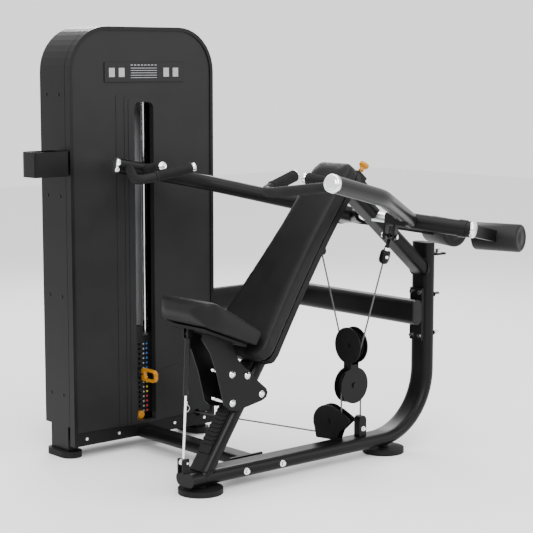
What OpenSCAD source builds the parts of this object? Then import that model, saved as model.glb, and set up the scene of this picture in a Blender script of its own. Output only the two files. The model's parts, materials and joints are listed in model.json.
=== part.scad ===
// Converging shoulder press machine with a weight stack.
// +X runs from the front foot to the rear post, +Y from the seat to the weight tower, +Z up.

/* [Main frame] */
// Width of the flat-sided oval frame tube
tube_w = 100; // [90:1:110]
// Thickness of the frame tube
tube_t = 50; // [45:1:55]
// Wall of the frame tube
tube_wall = 3; // [2.5:0.5:4]
// Height of the main beam's underside above the floor
beam_clear = 33; // [30:1:36]
// Centre line radius of the rear bend
bend_r = 250; // [230:5:260]
// Distance from the front foot to the rear post's centre line
post_x = 1115; // [1110:1:1120]
// Height of the rear post's top
post_top = 800; // [790:5:810]

/* [Weight tower] */
// Width of the tower
tower_w = 678; // [670:1:690]
// Height of the tower
tower_h = 1632; // [1620:1:1640]
// Depth of the side shell
shell_depth = 165; // [160:1:168]
// Radius of the tower's upper corners
corner_r = 170; // [150:5:180]
// Width of the slot in front of the stack
slot_w = 90; // [80:1:92]
// Number of weight plates
plate_count = 15; // [12:1:15]
// Height of one weight plate
plate_h = 18.7; // [18:0.1:18.8]
// Plates above the selector pin, which lift with it
lifted_count = 7; // [5:1:8]

/* [Press arms] */
// Outer radius of the arm tube
arm_r = 29; // [26:0.5:30]
// Outer radius of the handle tube
handle_r = 17; // [15:0.5:18]
// Radius of the fixed pivot axle
axle_r = 12.5; // [12:0.5:14]
// Radial running clearance of axles, pins and pulleys
run_gap = 0.05; // [0.03:0.01:0.08]
// Radius of the counterweight
weight_r = 55; // [50:1:56]
// Length of the counterweight
weight_len = 195; // [180:5:200]

/* [Pulleys and cable] */
// Cable centre line radius on every pulley
groove_r = 50; // [48:1:50]
// Outer radius of a pulley
pulley_r = 56; // [54:1:57]
// Radius of the round pulley covers
cover_r = 69; // [62:1:70]
// Radius of the steel cable
cable_r = 3; // [2.5:0.1:3.2]

/* [Seat and backrest] */
// Slope of the seat post above the floor
seat_post_angle = 56; // [55:0.5:57]
// Slope of the backrest's face above the floor
back_angle = 52.2; // [51.5:0.1:52.5]
// Length of the back pad
back_len = 830; // [800:5:840]
// Thickness of the back pad
back_pad_t = 52; // [45:1:54]

/* [Hidden] */
$fn = 48;
frame_black = [0.06, 0.06, 0.065];
panel_grey = [0.15, 0.15, 0.155];
chrome = [0.85, 0.86, 0.88];
safety_orange = [0.95, 0.55, 0.05];
rubber_black = [0.03, 0.03, 0.03];
vinyl_black = [0.05, 0.05, 0.05];
cable_grey = [0.2, 0.2, 0.21];
iron_black = [0.08, 0.08, 0.09];

// The object's middle on the floor, which is the origin of the finished part.
middle = [611, 122];

// Gap at the joint between two lengths of one bent tube.
seam = 0.02;

// Main frame.
beam_top = beam_clear + tube_t;
beam_axis = beam_clear + tube_t / 2;
beam_front = -67;
bend_end = post_x - bend_r;
bend_top = beam_axis + bend_r;
boom_angle = 40;
boom_foot = [post_x, 0, 688];
boom_len = 526;
boom_w = 96;
foot_r = 80;
foot_h = 20;

// Weight tower.
tower_mid = 255;
tower_left = tower_mid - tower_w / 2;
tower_right = tower_mid + tower_w / 2;
tower_front = 660;
rim_depth = 31;
shell_front = tower_front + rim_depth + 2;
shell_back = shell_front + shell_depth;
shell_wall = 4;
shell_low = 122;
skirt_low = 50;
panel_low = 98;
rim_w = 14;
slot_low = 108;
slot_high = 1349;
slot_return = 24;
column_x = 45;
column_y = 115;
column_top = 1460;
column_mid_y = 770;
base_bar_low = 42;
stack_y = 768.5;
stack_low = 125;
plate_pitch = 19.1;
plate_x = 240;
plate_y = 124;
rod_r = 12.5;
rod_gap = 150;
selector_r = 12;

// Pulleys. The cable leaves the fixed pulley along run_dir and enters the tower.
block_x = 728;
upper_z = 440;
lower_z = 288;
fixed_z = 150;
top_z = 1530;
run_yaw = 14.4;
run_dir = [-sin(run_yaw), cos(run_yaw), 0];
fixed_leg = [block_x - groove_r, 0];
fixed_mid = [fixed_leg.x, 0, fixed_z] + groove_r * run_dir;
base_mid = fixed_mid + 700 * run_dir;
riser = base_mid + groove_r * run_dir;
side_top_mid = [riser.x - groove_r, riser.y, top_z];
centre_top_mid = [tower_mid + groove_r, riser.y, top_z];
leg_low = 165;
cover_t = 4;
cover_in = 16;
pulley_half = 11;
pin_r = 8;

// Press arms, given for the left arm. The right arm mirrors them.
arm_front = [79, -588, 1116];
arm_bend = [399, -490, 1047];
arm_joint = [888, -150, 912];
hub_dir = [0.45, -0.8871, -0.1029];
hub_in = 92;
hub_out = 232;
arm_bend_r = 300;
arm_wall = 3;
lever_end = [block_x, -199, 872];
yoke_tilt = 18.7;
yoke_dir = [0, sin(yoke_tilt), -cos(yoke_tilt)];
lever_pin_r = 6;
weight_mid = [1387, -146, 815];
weight_dir = [0.3, -0.954, 0];
bar_root = arm_joint + 185 * hub_dir;
handle_root = [121, -575, 1107];
handle_bend = [-21, -341, 1074];
handle_end = [185, -281, 1120];
grip_root = [177, -558, 1095];
grip_end = [140, -400, 1120];
handle_bend_r = 45;
cap_len = 14;

// Seat.
post_foot = [7, 0, beam_top];
post_len = 449;
seat_half = 150;
strut_low = [-76, 0, 122];
strut_high = [-52, 0, 572];
strut_split = 235;
pawl_r = 9;
carriage_in = 51;
carriage_t = 6;

// Backrest. Its frame has X up the face, Y across and Z out of the face.
back_low = [132, 0, 487];
back_pivot = [272, 0, 492];
adjuster_r = 735;
adjuster_t = 25;
knob_angle = 50.5;

// Lanyard of the selector pin, from its handle to its clip.
pin_z = stack_low + (plate_count - lifted_count + 0.5) * plate_pitch - 0.2;
lanyard_r = 1.5;
lanyard_points = [[258, 588, 312], [272, 585, 317], [290, 582, 323], [310, 580, 328], [332, 579, 332],
    [352, 579, 332], [370, 580, 327], [383, 582, 317], [391, 584, 303], [395, 586, 287], [397, 588, 269],
    [398, 589, 251], [398, 589, 232], [398, 589, 213], [398, 589, 193], [398, 589, 173]];

function unit(v) = v / norm(v);
function angle_between(a, b) = acos(unit(a) * unit(b));
function flip_y(p) = [p.x, -p.y, p.z];

// A flat-sided oval, w wide along X and t along Y.
function oval(w, t, n = 10) = concat(
    [for (i = [0:n]) [(w - t) / 2 + t / 2 * cos(-90 + 180 * i / n), t / 2 * sin(-90 + 180 * i / n)]],
    [for (i = [0:n]) [-(w - t) / 2 + t / 2 * cos(90 + 180 * i / n), t / 2 * sin(90 + 180 * i / n)]]);

// A rectangle from low to high with its own radius at each corner, from the lower left one round.
function round_box(low, high, r, n = 6) = concat(
    [for (i = [0:n]) [low.x + r[0] - r[0] * cos(90 * i / n), low.y + r[0] - r[0] * sin(90 * i / n)]],
    [for (i = [0:n]) [high.x - r[1] + r[1] * sin(90 * i / n), low.y + r[1] - r[1] * cos(90 * i / n)]],
    [for (i = [0:n]) [high.x - r[2] + r[2] * cos(90 * i / n), high.y - r[2] + r[2] * sin(90 * i / n)]],
    [for (i = [0:n]) [low.x + r[3] - r[3] * sin(90 * i / n), high.y - r[3] + r[3] * cos(90 * i / n)]]);

module placed() {
    translate([-middle.x, -middle.y, 0]) children();
}

// Puts a child's Z axis along d, from the point p.
module along(p, d) {
    translate(p) rotate([0, acos(unit(d).z), atan2(d.y, d.x)]) children();
}

module bar(a, b, r) {
    along(a, b - a) cylinder(r = r, h = norm(b - a));
}

module pipe(a, b, r, wall) {
    along(a, b - a) linear_extrude(norm(b - a)) pipe_shape(r, wall);
}

module pipe_shape(r, wall) {
    difference() {
        circle(r);
        if (wall > 0) circle(r - wall);
    }
}

// A round tube from a to b with one bend of radius turn_r at the corner c.
module bent_tube(a, c, b, turn_r, r, wall = 0) {
    d1 = unit(c - a);
    d2 = unit(b - c);
    turn = angle_between(d1, d2);
    inward = unit(d2 - (d1 * d2) * d1);
    back = turn_r * tan(turn / 2);
    hub = c - back * d1 + turn_r * inward;
    z = cross(-inward, d1);
    multmatrix([[-inward.x, d1.x, z.x, hub.x], [-inward.y, d1.y, z.y, hub.y], [-inward.z, d1.z, z.z, hub.z]]) {
        translate([turn_r, -seam, 0]) rotate([90, 0, 0])
            linear_extrude(norm(c - a) - back - 2 * seam) pipe_shape(r, wall);
        rotate_extrude(angle = turn) translate([turn_r, 0]) pipe_shape(r, wall);
        rotate([0, 0, turn]) translate([turn_r, seam, 0]) rotate([-90, 0, 0])
            linear_extrude(norm(b - c) - back - seam) pipe_shape(r, wall);
    }
}

// Straight runs of frame tube, and the solid that cuts other parts to fit them.
module oval_tube(len, wall = tube_wall) {
    linear_extrude(len) difference() {
        polygon(oval(tube_w, tube_t));
        polygon(oval(tube_w - 2 * wall, tube_t - 2 * wall));
    }
}

module oval_solid(len) {
    linear_extrude(len) polygon(oval(tube_w, tube_t));
}

module along_x() {
    rotate([90, 0, 90]) children();
}

module base_beam() {
    color(frame_black) placed() {
        translate([beam_front, 0, beam_axis]) along_x() oval_tube(bend_end - beam_front);
        translate([beam_front - 3, 0, beam_axis]) along_x() oval_solid(3);
    }
}

module rear_upright() {
    color(frame_black) placed() {
        translate([bend_end, 0, bend_top]) rotate([90, 0, 0]) rotate([0, 0, -90])
            rotate_extrude(angle = 90) translate([bend_r, 0]) rotate(90) difference() {
                polygon(oval(tube_w, tube_t));
                polygon(oval(tube_w - 2 * tube_wall, tube_t - 2 * tube_wall));
            }
        translate([post_x, 0, bend_top]) rotate([0, 0, 90]) oval_tube(post_top - bend_top);
        translate([post_x, 0, post_top]) rotate([0, 0, 90]) oval_solid(4);
    }
}

// The boom runs forwards and up from the rear post to the backrest.
module boom_frame() {
    translate(boom_foot) rotate([0, boom_angle - 90, 0]) rotate([0, 0, 90]) children();
}

module boom_solid() {
    linear_extrude(boom_len + 4) polygon(oval(boom_w, tube_t));
}

module post_cutter() {
    translate([post_x, 0, bend_top]) rotate([0, 0, 90]) oval_solid(post_top - bend_top);
}

module boom() {
    color(frame_black) placed() difference() {
        boom_frame() difference() {
            boom_solid();
            translate([0, 0, -1]) linear_extrude(boom_len + 1)
                polygon(oval(boom_w - 2 * tube_wall, tube_t - 2 * tube_wall));
        }
        post_cutter();
    }
}

// One axle: a boss welded to the boom's side and a shaft that carries the arm's hub.
module pivot_axle() {
    centre_line = arm_joint - (arm_joint.y / hub_dir.y) * hub_dir;
    boss_end = arm_joint - (hub_in + 3) * hub_dir;
    difference() {
        bar(centre_line + 20 * hub_dir, boss_end, 22);
        boom_frame() boom_solid();
    }
    bar(boss_end - 12 * hub_dir, arm_joint + (hub_out - 20) * hub_dir, axle_r);
}

module pivot_axles() {
    color(chrome) placed() {
        pivot_axle();
        mirror([0, 1, 0]) pivot_axle();
    }
}

// A levelling foot: a rubber disc and the short stem under the tube.
module round_foot(x) {
    translate([x, 0, 0]) cylinder(r = foot_r, h = foot_h);
    translate([x, 0, foot_h]) cylinder(r = 18, h = beam_clear - foot_h);
}

module tower_foot(x) {
    translate([x, column_mid_y, 0]) linear_extrude(24) rotate(90) polygon(oval(165, 84));
}

module floor_feet() {
    color(rubber_black) placed() {
        round_foot(0);
        round_foot(903);
        tower_foot(tower_left + shell_wall + 1 + column_x / 2);
        tower_foot(tower_right - shell_wall - 1 - column_x / 2);
    }
}

module cross_tube(len) {
    linear_extrude(len) difference() {
        polygon(oval(90, 40));
        polygon(oval(84, 34));
    }
}

module cross_beam() {
    color(frame_black) placed() {
        translate([tower_mid, 62, beam_top - 20]) rotate([-90, 0, 0]) cross_tube(tower_front + 30 - 62);
        translate([tower_mid - 75, tube_w / 2 + 0.5, beam_clear + 4]) cube([150, 10, tube_t - 4]);
    }
}

// The rear link: along the tower's side, round a corner and across to the post.
link_x = 1050;
link_y = 745;
link_z = 535;
link_r = 110;
module link_bar() {
    color(frame_black) placed() {
        translate([link_x, -30, link_z]) rotate([-90, 0, 0]) rotate(90) oval_tube(link_y - link_r + 30);
        translate([link_x - link_r, link_y - link_r, link_z]) rotate_extrude(angle = 90)
            translate([link_r, 0]) rotate(90) difference() {
                polygon(oval(tube_w, tube_t));
                polygon(oval(tube_w - 2 * tube_wall, tube_t - 2 * tube_wall));
            }
        translate([tower_right + 1, link_y, link_z]) along_x() rotate(90)
            oval_tube(link_x - link_r - tower_right - 1);
    }
}

// Plates and lugs welded or bolted to the frame.
module frame_brackets() {
    color(frame_black) placed() {
        // Flange between the link bar and the post.
        translate([link_x + tube_t / 2, -32, 421]) cube([post_x - tube_t / 2 - link_x - tube_t / 2, 64, 205]);
        // Clevis that anchors the cable on the beam.
        translate([block_x + groove_r, 0, beam_top]) difference() {
            union() {
                translate([-18, -15, 0]) cube([36, 30, 62]);
                translate([0, 15, 62]) rotate([90, 0, 0]) cylinder(r = 18, h = 30);
            }
            translate([0, 0, 60]) cylinder(r = cable_r + 0.5, h = 40);
        }
        // Lugs for the gas strut's foot.
        for (y = [-16, 10]) translate([strut_low.x - 14, y, beam_top]) cube([28, 6, 52]);
        // Stop bracket behind the post.
        translate([post_x + tube_t / 2, -45, 752]) cube([55, 90, 8]);
        // Lug on the seat post's top for the backrest's pivot.
        difference() {
            union() {
                translate([back_pivot.x, 28, back_pivot.z]) rotate([90, 0, 0]) cylinder(r = 17, h = 56);
                seat_frame() translate([post_len, -27, -22]) cube([34, 54, 30]);
            }
            translate([back_pivot.x, 40, back_pivot.z]) rotate([90, 0, 0])
                cylinder(r = pin_r + run_gap, h = 80);
        }
    }
}

// A hexagon bolt head with its washer, standing on p and pointing along d.
module bolt_head(p, d, r = 9) {
    along(p, d) {
        cylinder(r = r * 1.35, h = 2);
        translate([0, 0, 2]) cylinder(r = r, h = r, $fn = 6);
    }
}

module frame_bolts() {
    color(chrome) placed() {
        for (x = [168, 338]) bolt_head([x, -tube_w / 2, beam_axis], [0, -1, 0]);
        for (z = [448, 600]) bolt_head([post_x + tube_t / 2, 0, z], [1, 0, 0]);
        for (y = [-28, 28]) bolt_head([post_x + 52, y, 760], [0, 0, 1], 12);
        bolt_head([block_x + groove_r, -15, beam_top + 30], [0, -1, 0], 7);
        bar([strut_low.x, -25, strut_low.z], [strut_low.x, 25, strut_low.z], 3.8);
    }
}

module tower_columns() {
    color(frame_black) placed() for (x = [tower_left + shell_wall + 1, tower_right - shell_wall - 1 - column_x])
        translate([x, column_mid_y - column_y / 2, 24]) difference() {
            cube([column_x, column_y, column_top - 24]);
            translate([3, 3, 3]) cube([column_x - 6, column_y - 6, column_top - 24 - 6]);
        }
}

module crossbar(z) {
    x = tower_left + shell_wall + 1 + column_x;
    translate([x, column_mid_y - column_y / 2, z]) difference() {
        cube([tower_w - 2 * (shell_wall + 1 + column_x), column_y, 50]);
        translate([3, 3, 3]) cube([tower_w - 2 * (shell_wall + 4 + column_x), column_y - 6, 44]);
    }
}

module tower_crossbars() {
    color(frame_black) placed() {
        difference() {
            crossbar(base_bar_low);
            for (s = [-1, 1]) translate([tower_mid + s * rod_gap / 2, stack_y, base_bar_low + 40])
                cylinder(r = rod_r, h = 20);
        }
        difference() {
            crossbar(column_top - 50);
            for (s = [-1, 1]) translate([tower_mid + s * rod_gap / 2, stack_y, column_top - 60])
                cylinder(r = rod_r, h = 80);
            for (x = [tower_mid, riser.x]) translate([x, stack_y, column_top - 60]) cylinder(r = 12, h = 80);
        }
        pulley_brackets();
    }
}

// The tower's front outline, inset by w all round.
module tower_outline(w, low, r = corner_r) {
    polygon(round_box([tower_left + w, low], [tower_right - w, tower_h - w], [0.01, 0.01, r - w, r - w], 10));
}

// Extrudes a front view from the depth y towards the back.
module from_front(y, depth) {
    translate([0, y + depth, 0]) rotate([90, 0, 0]) linear_extrude(depth) children();
}

// The wrapped side and top sheet, with the back sheet set into it.
module side_shell() {
    color(frame_black) placed() {
        from_front(shell_front, shell_depth) difference() {
            tower_outline(0, shell_low);
            tower_outline(shell_wall, shell_low - 50);
        }
        from_front(shell_back - 6, 3) intersection() {
            tower_outline(shell_wall, shell_low);
            translate([tower_left, shell_low]) square([tower_w, tower_h]);
        }
    }
}

module slot_shape(grow, low = slot_low) {
    polygon(round_box([tower_mid - slot_w / 2 - grow, low - grow],
        [tower_mid + slot_w / 2 + grow, slot_high + grow], [5, 5, 25 + grow, 25 + grow]));
}

module front_frame() {
    color(frame_black) placed() {
        from_front(tower_front, rim_depth) difference() {
            tower_outline(0, skirt_low);
            tower_outline(rim_w, skirt_low - 50);
        }
        difference() {
            translate([tower_left + rim_w, tower_front, skirt_low])
                cube([tower_w - 2 * rim_w, 4, panel_low - skirt_low]);
            translate([tower_mid, tower_front - 5, beam_top - 20]) rotate([-90, 0, 0])
                linear_extrude(20) polygon(oval(91, 41));
            cable_port();
        }
    }
}

// The hole in the tower's front that the cable enters by.
module cable_port() {
    along(fixed_mid - [0, 0, groove_r] + 600 * run_dir, run_dir) cylinder(r = 14, h = 80);
}

// Raised bands beside the slot, as half widths from the tower's middle.
band_steps = [128, 91, 73, 49];
module front_panel() {
    color(panel_grey) placed() difference() {
        union() {
            from_front(tower_front + 5, 3) tower_outline(rim_w, panel_low);
            for (i = [0:2]) from_front(tower_front + 5 - 1.5 * (i + 1), 1.5 * (i + 1))
                polygon(round_box([tower_mid - band_steps[i], panel_low],
                    [tower_mid + band_steps[i], 1380 - 8 * i], [0.01, 0.01, 12, 12], 3));
            from_front(tower_front + 2, slot_return) slot_shape(3);
        }
        from_front(tower_front - 20, 80) slot_shape(0);
        cable_port();
    }
}

holder_low = [-240, 656, 1080];
holder_size = [145, 103, 93];
module bottle_holder() {
    color(frame_black) placed() {
        difference() {
            translate([holder_low.x, holder_low.y, holder_low.z]) linear_extrude(holder_size.z)
                polygon(round_box([0, 0], [holder_size.x, holder_size.y], [8, 4, 4, 30]));
            translate([holder_low.x, holder_low.y, holder_low.z + 4]) linear_extrude(holder_size.z)
                polygon(round_box([4, 4], [holder_size.x - 4, holder_size.y - 4], [5, 2, 2, 26]));
        }
        translate([holder_low.x + holder_size.x, 705, holder_low.z + 12])
            cube([tower_left - holder_low.x - holder_size.x, 46, 60]);
    }
}

module guide_rods() {
    color(chrome) placed() for (s = [-1, 1]) translate([tower_mid + s * rod_gap / 2, stack_y, base_bar_low + 47])
        cylinder(r = rod_r, h = column_top - base_bar_low - 47);
}

// One weight plate, numbered from the bottom, with its guide and selector holes.
module weight_plate(i) {
    z = stack_low + i * plate_pitch;
    difference() {
        translate([tower_mid - plate_x / 2, stack_y - plate_y / 2, z]) cube([plate_x, plate_y, plate_h]);
        for (s = [-1, 1]) translate([tower_mid + s * rod_gap / 2, stack_y, z - 1])
            cylinder(r = rod_r + 1.5, h = plate_h + 2);
        translate([tower_mid, stack_y, z - 1]) cylinder(r = selector_r + 1.5, h = plate_h + 2);
        translate([tower_mid, stack_y - plate_y / 2 - 1, z + plate_h / 2]) rotate([-90, 0, 0])
            cylinder(r = 5.5, h = plate_y / 2 + 1);
    }
}

module resting_plates() {
    color(iron_black) placed() for (i = [0:plate_count - lifted_count - 1]) weight_plate(i);
}

module lifted_plates() {
    color(iron_black) placed() for (i = [plate_count - lifted_count:plate_count - 1]) weight_plate(i);
}

stack_top = stack_low + plate_count * plate_pitch;
module head_plate() {
    color(iron_black) placed() difference() {
        union() {
            translate([tower_mid - plate_x / 2, stack_y - plate_y / 2, stack_top]) cube([plate_x, plate_y, 22]);
            translate([tower_mid - 19, stack_y - plate_y / 2, stack_top + 22]) cube([38, 80, 40]);
            translate([tower_mid, stack_y, stack_low + 2]) cylinder(r = selector_r, h = stack_top - stack_low);
        }
        for (s = [-1, 1]) translate([tower_mid + s * rod_gap / 2, stack_y, stack_top - 1])
            cylinder(r = rod_r + 0.5, h = 30);
        for (i = [0:plate_count - 1]) translate([tower_mid, stack_y - 20, stack_low + (i + 0.5) * plate_pitch - 0.2])
            rotate([-90, 0, 0]) cylinder(r = 5.3, h = 40);
    }
}

module stack_bumpers() {
    color(rubber_black) placed() for (s = [-1, 1])
        translate([tower_mid + s * rod_gap / 2, stack_y, base_bar_low + 50]) difference() {
            cylinder(r = 26, h = stack_low - base_bar_low - 50);
            translate([0, 0, -1]) cylinder(r = rod_r + 0.3, h = 60);
        }
}

// A pulley with its cable groove, centred on p and turning about d.
module pulley(p, d) {
    along(p, d) rotate_extrude() polygon([[pin_r + run_gap, -pulley_half], [pulley_r, -pulley_half],
        [pulley_r, -6], [groove_r - cable_r - 0.4, -cable_r - 0.6], [groove_r - cable_r - 0.4, cable_r + 0.6],
        [pulley_r, 6], [pulley_r, pulley_half], [pin_r + run_gap, pulley_half]]);
}

run_axis = [cos(run_yaw), sin(run_yaw), 0];
module base_pulley() {
    color(iron_black) placed() pulley(base_mid, run_axis);
}

module side_top_pulley() {
    color(iron_black) placed() pulley(side_top_mid, [0, 1, 0]);
}

module centre_top_pulley() {
    color(iron_black) placed() pulley(centre_top_mid, [0, 1, 0]);
}

module fixed_pulley() {
    color(iron_black) placed() pulley(fixed_mid, run_axis);
}

module block_upper_pulley() {
    color(iron_black) placed() pulley([block_x, 0, upper_z], [1, 0, 0]);
}

module block_lower_pulley() {
    color(iron_black) placed() pulley([block_x, 0, lower_z], [0, 1, 0]);
}

// An axle pin of half length half, centred on p, with a head at each end.
module axle_pin(p, d, half) {
    bar(p - half * unit(d), p + half * unit(d), pin_r);
    for (s = [-1, 1]) bar(p + s * half * unit(d), p + s * (half + 5) * unit(d), 11);
}

module pulley_brackets() {
    for (p = [side_top_mid, centre_top_mid]) {
        for (y = [-20, 15]) translate([p.x - 20, p.y + y, column_top]) cube([40, 5, top_z - column_top + 20]);
        axle_pin(p, [0, 1, 0], 20);
    }
    along([base_mid.x, base_mid.y, base_bar_low + 50], [0, 0, 1]) rotate(run_yaw)
        for (x = [-20, 15]) translate([x, -20, 0]) cube([5, 40, fixed_z - base_bar_low - 30]);
    axle_pin(base_mid, run_axis, 20);
}

stop_disc_z = 122;
module stop_disc() {
    color(safety_orange) placed() {
        translate([tower_mid, stack_y - plate_y / 2 - 2, stop_disc_z]) rotate([90, 0, 0]) cylinder(r = 15, h = 8);
        translate([tower_mid, stack_y - plate_y / 2 - 2, stop_disc_z - 30]) translate([-10, 0, 0])
            cube([20, 2 - 0.5, 45]);
    }
}

// The cable the frame holds: from its anchor up, and from the floating block to the stack.
module lift_cable() {
    foot = fixed_mid - [0, 0, groove_r];
    halfway = foot + 300 * run_dir;
    riser_mid = [riser.x, riser.y, 800];
    top_mid = [(riser.x + tower_mid) / 2, riser.y, top_z + groove_r];
    color(cable_grey) placed() {
        bar([block_x + groove_r, 0, beam_top + 62], [block_x + groove_r, 0, leg_low], cable_r);
        bent_tube([fixed_leg.x, 0, leg_low], [fixed_leg.x, 0, fixed_z - groove_r], halfway, groove_r, cable_r);
        bent_tube(halfway, [riser.x, riser.y, fixed_z - groove_r], riser_mid, groove_r, cable_r);
        bent_tube(riser_mid, [riser.x, riser.y, top_z + groove_r], top_mid, groove_r, cable_r);
        bent_tube(top_mid, [tower_mid, riser.y, top_z + groove_r], [tower_mid, riser.y, top_z - 20],
            groove_r, cable_r);
    }
}

// The cable from the last pulley down to the stack, which shortens as the stack rises.
module stack_cable() {
    color(cable_grey) placed() bar([tower_mid, riser.y, stack_top + 62], [tower_mid, riser.y, top_z - 20], cable_r);
}

// Side plates round the fixed pulley, with a nose that keeps the cable in its groove.
guard_outline = concat([[-42, -fixed_z + beam_clear + tube_t], [-55, -32]],
    [[-100, 12], [-96, 22], [-50, 48]], [for (a = [125:-15:-30]) 64 * [cos(a), sin(a)]],
    [[50, -fixed_z + beam_clear + tube_t]]);
module fixed_pulley_guard() {
    color(frame_black) placed() {
        translate(fixed_mid) rotate([0, 0, run_yaw]) {
            for (x = [-20, 16]) translate([x, 0, 0]) rotate([90, 0, 90]) linear_extrude(4) polygon(guard_outline);
            translate([-20, -42, -fixed_z + beam_top]) cube([40, 92, 4]);
        }
        axle_pin(fixed_mid, run_axis, 20);
    }
}

module block_covers() {
    color(frame_black) placed() {
        for (s = [-1, 1]) {
            translate([block_x + s * (cover_in + cover_t / 2) - cover_t / 2, 0, upper_z]) rotate([0, 90, 0])
                cylinder(r = cover_r, h = cover_t);
            translate([block_x + s * (cover_in + cover_t / 2) - cover_t / 2, -20, 366])
                cube([cover_t, 40, 20]);
            translate([block_x, s * (cover_in + cover_t / 2) + cover_t / 2, lower_z]) rotate([90, 0, 0])
                cylinder(r = cover_r, h = cover_t);
            translate([block_x - 20, s * (cover_in + cover_t / 2) - cover_t / 2, 342]) cube([40, cover_t, 20]);
        }
        translate([block_x - 20, -20, 360]) cube([40, 40, 8]);
        axle_pin([block_x, 0, upper_z], [1, 0, 0], 20);
        axle_pin([block_x, 0, lower_z], [0, 1, 0], 20);
    }
}

// The arms' cable under the upper pulley, and the lift cable's loop over the lower one.
module block_cable() {
    left = [block_x, lever_end.y, lever_end.z] + 112 * yoke_dir;
    color(cable_grey) placed() {
        bent_tube(left, [block_x, 0, upper_z - groove_r / sin(yoke_tilt)], flip_y(left), groove_r, cable_r);
        translate([block_x, 0, lower_z]) rotate([90, 0, 0]) rotate_extrude(angle = 180)
            translate([groove_r, 0]) circle(cable_r);
        for (x = [-groove_r, groove_r]) translate([block_x + x, 0, leg_low])
            cylinder(r = cable_r, h = lower_z - leg_low);
    }
}

module selector_pin() {
    color(chrome) placed() {
        bar([tower_mid, stack_y + 12, pin_z], [tower_mid, stack_y - plate_y / 2 - 28, pin_z], 4.8);
    }
}

handle_near = stack_y - plate_y / 2 - 112;
module pin_handle() {
    color(safety_orange) placed() {
        translate([tower_mid - 7, 0, 0]) rotate([90, 0, 90]) linear_extrude(14) difference() {
            polygon(round_box([handle_near, pin_z - 24], [stack_y - plate_y / 2 - 22, pin_z + 24], [20, 8, 8, 20]));
            polygon(round_box([handle_near + 9, pin_z - 15], [stack_y - plate_y / 2 - 40, pin_z + 15],
                [12, 5, 5, 12]));
            translate([stack_y - plate_y / 2 - 33, pin_z - 4.8]) square([12, 9.6]);
        }
        translate([tower_mid, handle_near, pin_z + 24 - 12]) rotate([90, 0, 0]) cylinder(r = 4, h = 5);
    }
}

// A ring of the lanyard's tube at point i, square to its route.
function route_dir(i) = unit(lanyard_points[min(i + 1, len(lanyard_points) - 1)]
    - lanyard_points[max(i - 1, 0)]);
function ring(i, sides) = let (d = route_dir(i), u = unit(cross(d, [0.2, 1, 0.1])), v = cross(d, u))
    [for (k = [0:sides - 1]) lanyard_points[i] + lanyard_r * (cos(360 * k / sides) * u
        + sin(360 * k / sides) * v)];
module lanyard() {
    n = len(lanyard_points);
    sides = 8;
    color(rubber_black) placed() polyhedron(
        points = [for (i = [0:n - 1]) each ring(i, sides)],
        faces = concat([[for (k = [0:sides - 1]) sides - 1 - k]],
            [for (i = [0:n - 2]) for (k = [0:sides - 1]) [i * sides + k, i * sides + (k + 1) % sides,
                (i + 1) * sides + (k + 1) % sides, (i + 1) * sides + k]],
            [[for (k = [0:sides - 1]) (n - 1) * sides + k]]));
}

module lanyard_clip() {
    end = lanyard_points[len(lanyard_points) - 1];
    color(chrome) placed() translate(end) {
        translate([0, 0, -16]) cylinder(r = 3.2, h = 16);
        translate([0, 0, -29]) rotate([90, 0, 0]) translate([0, 0, -1.5]) difference() {
            cylinder(r = 14, h = 3);
            translate([0, 0, -1]) cylinder(r = 10.5, h = 5);
        }
    }
}

// The seat post's own frame: X up the post, Y across, Z out of its front face.
module seat_frame() {
    translate(post_foot) rotate([0, -seat_post_angle, 0]) children();
}

module seat_post() {
    color(frame_black) placed() difference() {
        seat_frame() {
            translate([-40, 0, 0]) rotate([90, 0, 90]) oval_tube(post_len + 40 - 3);
            translate([post_len - 3, 0, 0]) rotate([90, 0, 90]) oval_solid(3);
        }
        translate([beam_front, 0, beam_axis]) along_x() oval_solid(bend_end - beam_front);
        translate([-200, -100, -60]) cube([400, 200, 60 + beam_axis]);
    }
    color(frame_black) placed() seat_frame() seat_rack();
}

// The rack on the post's front face, which the seat's catch drops into.
module seat_rack() {
    translate([52, -30, tube_t / 2]) cube([385, 60, 6]);
    for (i = [0:20]) translate([84 + 16 * i, -27, tube_t / 2 + 6]) cube([8, 54, 5]);
}

carriage_outline = [[62, 312], [84, 292], [118, 284], [236, 306], [256, 316], [262, 332], [256, 347],
    [212, 384], [186, 414], [152, 438], [124, 470], [106, 512], [98, 527], [-30, 579], [-34, 556],
    [4, 500], [34, 420], [52, 350]];
roller_axles = [[98, 418], [168, 405], [234, 330], [99, 315]];
seat_profile = [[140, 524], [166, 571], [60, 635], [0, 667], [-36, 689], [-56, 697], [-74, 694], [-89, 682],
    [-98, 667], [-101, 653], [-94, 638], [-68, 608]];

// Side plates of the sliding carriage, the seat board and the strut's upper lugs.
module seat_carriage() {
    color(frame_black) placed() {
        for (s = [-1, 1]) difference() {
            translate([0, s * (carriage_in + carriage_t / 2) + carriage_t / 2, 0]) rotate([90, 0, 0])
                linear_extrude(carriage_t) polygon(carriage_outline);
            for (a = roller_axles) translate([a.x, s * 70 + 30, a.y]) rotate([90, 0, 0]) cylinder(r = 7, h = 60);
        }
        translate([0, 110, 0]) rotate([90, 0, 0]) linear_extrude(220)
            polygon([[118, 519], [122, 528], [-66, 603], [-70, 594]]);
        for (y = [-14, 8]) translate([strut_high.x - 12, y, strut_high.z - 12]) cube([24, 6, 32]);
    }
}

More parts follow.
